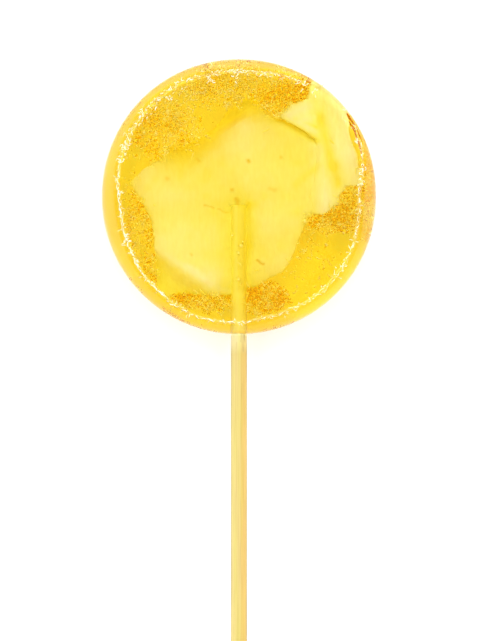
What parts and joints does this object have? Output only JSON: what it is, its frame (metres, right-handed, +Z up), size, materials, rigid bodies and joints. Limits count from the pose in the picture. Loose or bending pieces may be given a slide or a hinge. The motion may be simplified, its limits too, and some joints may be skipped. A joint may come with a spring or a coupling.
{
  "type": "lollipop",
  "caption": "Flat round lollipop of clear amber sugar with thin melon slices sunk in it, on a straight round bamboo stick.",
  "frame": {"origin": "centre of the disc's flat back, on the surface that the lollipop lies on", "axes": "+Z up through the disc to its shown face, -Y along the stick away from the disc, +X to the right seen from above"},
  "size_m": [0.05, 0.1466, 0.0082],
  "materials": {
    "sugar": "clear amber sugar glass, glossy",
    "melon": "soft, moist, fibrous melon flesh",
    "bamboo": "smooth bare bamboo with fine lengthwise fibres"
  },
  "bodies": {
    "root": {"sugar_disc": "sugar", "melon_slice_main": "melon", "melon_slice_upper": "melon", "stick": "bamboo"}
  },
  "joints": []
}
